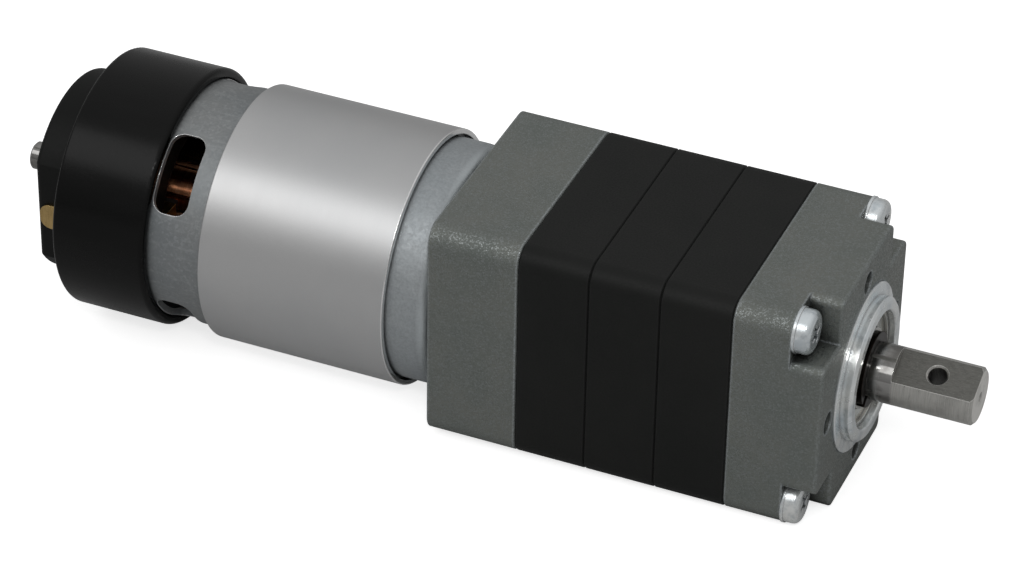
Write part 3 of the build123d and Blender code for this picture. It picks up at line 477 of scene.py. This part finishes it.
def laminated():
    """Stacked electrical sheet, with its joints as fine lines across the axis."""
    s = Surface("laminated")
    wave = s.node("ShaderNodeTexWave", wave_type="BANDS", bands_direction="X")
    s.join(s.place, wave.inputs["Vector"])
    wave.inputs["Scale"].default_value = SHEET_BANDS
    wave.inputs["Distortion"].default_value = SHEET_UNEVENNESS
    sheet = wave.outputs["Fac"]
    cloud = s.noise(300, detail=4, rough=0.6)
    tone = s.mix(s.fit(sheet, 0.1, 0.5, 0, 1), (0.03, 0.028, 0.026), (0.20, 0.19, 0.18))
    tone = s.mix(s.fit(cloud, 0.35, 0.5, 0.5, 0), tone, (0.09, 0.06, 0.04))
    return s.finish(
        Base_Color=tone,
        Metallic=0.9,
        Roughness=s.fit(cloud, 0.3, 0.7, 0.35, 0.55),
        Normal=s.bump(sheet, 0.05 * MM, 0.5),
    )


def tracked_copper():
    """Copper worn bright by brushes, with fine tracks round the axis that draw highlights out."""
    s = Surface("tracked_copper")
    tracks = s.streaks((5200, 120, 120), detail=4, rough=0.8)
    cloud = s.noise(400, detail=4, rough=0.6)
    tangent = s.node("ShaderNodeTangent", direction_type="RADIAL", axis="X")
    tone = s.mix(s.spread(tracks), (0.62, 0.24, 0.11), (0.88, 0.46, 0.26))
    tone = s.mix(s.fit(cloud, 0.35, 0.5, 0.5, 0), tone, (0.30, 0.10, 0.05))
    return s.finish(
        Base_Color=tone,
        Metallic=1.0,
        Roughness=s.fit(cloud, 0.3, 0.7, 0.29, 0.34),
        Anisotropic=1.0,
        Anisotropic_Rotation=0.25,
        Tangent=tangent.outputs[0],
        Normal=s.bump(tracks, 0.01 * MM, 0.3),
    )


MATERIALS = {
    "cast_housing": die_cast(),
    "black_ring_gear": black_die_cast(),
    "black_cover": black_plastic(
        "cover_plastic", (0.0006, 0.0007, 0.0006), rough=0.23, texture=2400
    ),
    "end_bell_plastic": black_plastic(
        "end_bell_plastic", (0.0020, 0.0023, 0.0020), rough=0.50, texture=1800
    ),
    "satin_flux_ring": satin_steel(),
    "galvanised_can": galvanised(),
    "zinc_plate": zinc_plate(),
    "ground_steel": ground_steel(),
    "gear_steel": machined(
        "gear_steel", (0.30, 0.30, 0.30), (0.42, 0.42, 0.41), rough=0.32, lines=3000
    ),
    "bearing_steel": machined(
        "bearing_steel", (0.58, 0.58, 0.56), (0.76, 0.74, 0.68), rough=0.16, lines=7000
    ),
    "black_oxide": machined(
        "black_oxide", (0.016, 0.013, 0.011), (0.030, 0.024, 0.020), rough=0.34, lines=4000
    ),
    "ferrite": granular(
        "ferrite", (0.028, 0.028, 0.030), (0.045, 0.045, 0.047), rough=0.55, scale=2600
    ),
    "spring_steel": machined(
        "spring_steel", (0.34, 0.34, 0.33), (0.46, 0.46, 0.45), rough=0.26, lines=3000
    ),
    "sintered_bronze": granular(
        "sintered_bronze", (0.30, 0.19, 0.09), (0.42, 0.28, 0.14), rough=0.42, scale=3000, metallic=0.9
    ),
    "brass": machined("brass", (0.44, 0.30, 0.12), (0.60, 0.43, 0.19), rough=0.30, lines=2200),
    "copper": tracked_copper(),
    "carbon": granular(
        "carbon", (0.014, 0.014, 0.014), (0.028, 0.027, 0.026), rough=0.50, scale=3800, metallic=0.2
    ),
    "lamination_steel": laminated(),
    "phenolic": granular(
        "phenolic", (0.055, 0.026, 0.014), (0.085, 0.040, 0.020), rough=0.40, scale=2400
    ),
}


def finish_nodes():
    """Gives each CAD node the material of its slot."""
    slots = {}
    for row in frame["record"]["materials"]:
        for name in row.get("nodes", []):
            slots[name] = row["slot"]
    for name, thing in frame["nodes"].items():
        kind = slots.get(name) or thing.data.materials[0].name.split(".")[0]
        thing.data.materials.clear()
        thing.data.materials.append(MATERIALS[kind])


# ---- Floor and light -----------------------------------------------------------------------------
FLOOR_CORNERS = ((-6, -6), (6, -6), (6, 6), (-6, 6))
FLOOR_TONES = (0.86, 0.86, 0.86), (0.88, 0.88, 0.88)
# The camera sees the floor lit up to white, and the object's reflections see it greyer and unlit.
FLOOR_IN_REFLECTIONS = (0.56, 0.56, 0.56)
FLOOR_GLOW = 0.72


def add_floor():
    """A plain pale floor, tipped a hair so that it touches both the cover and the gearbox."""
    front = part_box("front_flange")[1].x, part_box("front_flange")[0].z
    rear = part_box("rear_cover")[0].x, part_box("rear_cover")[0].z
    slope = (front[1] - rear[1]) / (front[0] - rear[0])
    mesh = bpy.data.meshes.new("floor")
    corners = [(x, y, rear[1] + (x - rear[0]) * slope) for x, y in FLOOR_CORNERS]
    mesh.from_pydata(corners, [], [(0, 1, 2, 3)])
    floor = bpy.data.objects.new("floor", mesh)
    scene.collection.objects.link(floor)
    s = Surface("pale_floor")
    cloud = s.noise(3, detail=3, rough=0.5)
    rays = s.node("ShaderNodeLightPath").outputs["Is Camera Ray"]
    seen = s.mix(s.fit(cloud, 0.3, 0.7, 0, 1), *FLOOR_TONES)
    mesh.materials.append(
        s.finish(
            Base_Color=s.mix(rays, FLOOR_IN_REFLECTIONS, seen),
            Roughness=0.9,
            Emission_Color=(1.0, 1.0, 1.0),
            Emission_Strength=s.maths("MULTIPLY", rays, FLOOR_GLOW),
        )
    )


def add_light(name, azimuth, elevation, distance, width, height, power):
    """A rectangular white light that faces the object, placed by angles in degrees."""
    centre = (cad_low + cad_high) / 2
    away = direction(math.radians(azimuth), math.radians(elevation))
    data = bpy.data.lights.new(name, "AREA")
    data.shape = "RECTANGLE"
    data.size = width
    data.size_y = height
    data.energy = power
    light = bpy.data.objects.new(name, data)
    light.location = centre + away * distance
    light.rotation_mode = "QUATERNION"
    light.rotation_quaternion = away.to_track_quat("Z", "Y")
    scene.collection.objects.link(light)


def add_world(level, overhead):
    """Even light from all round that grows from one strength at the horizon to another overhead."""
    world = bpy.data.worlds.new("studio")
    world.use_nodes = True
    tree = world.node_tree
    place = tree.nodes.new("ShaderNodeTexCoord")
    split = tree.nodes.new("ShaderNodeSeparateXYZ")
    ramp = tree.nodes.new("ShaderNodeMapRange")
    tree.links.new(place.outputs["Generated"], split.inputs[0])
    tree.links.new(split.outputs["Z"], ramp.inputs["Value"])
    ramp.inputs["To Min"].default_value = level
    ramp.inputs["To Max"].default_value = overhead
    tree.nodes["Background"].inputs["Color"].default_value = (1, 1, 1, 1)
    tree.links.new(ramp.outputs[0], tree.nodes["Background"].inputs["Strength"])
    scene.world = world


# ---- Build ---------------------------------------------------------------------------------------
add_camera()
finish_nodes()
add_floor()
add_light("softbox", azimuth=-28, elevation=47, distance=1.1, width=1.0, height=0.5, power=1.95)
add_light("lamp", azimuth=24, elevation=46, distance=1.1, width=0.10, height=0.10, power=0.95)
add_world(level=0.26, overhead=0.60)
scene.view_settings.view_transform = "Standard"
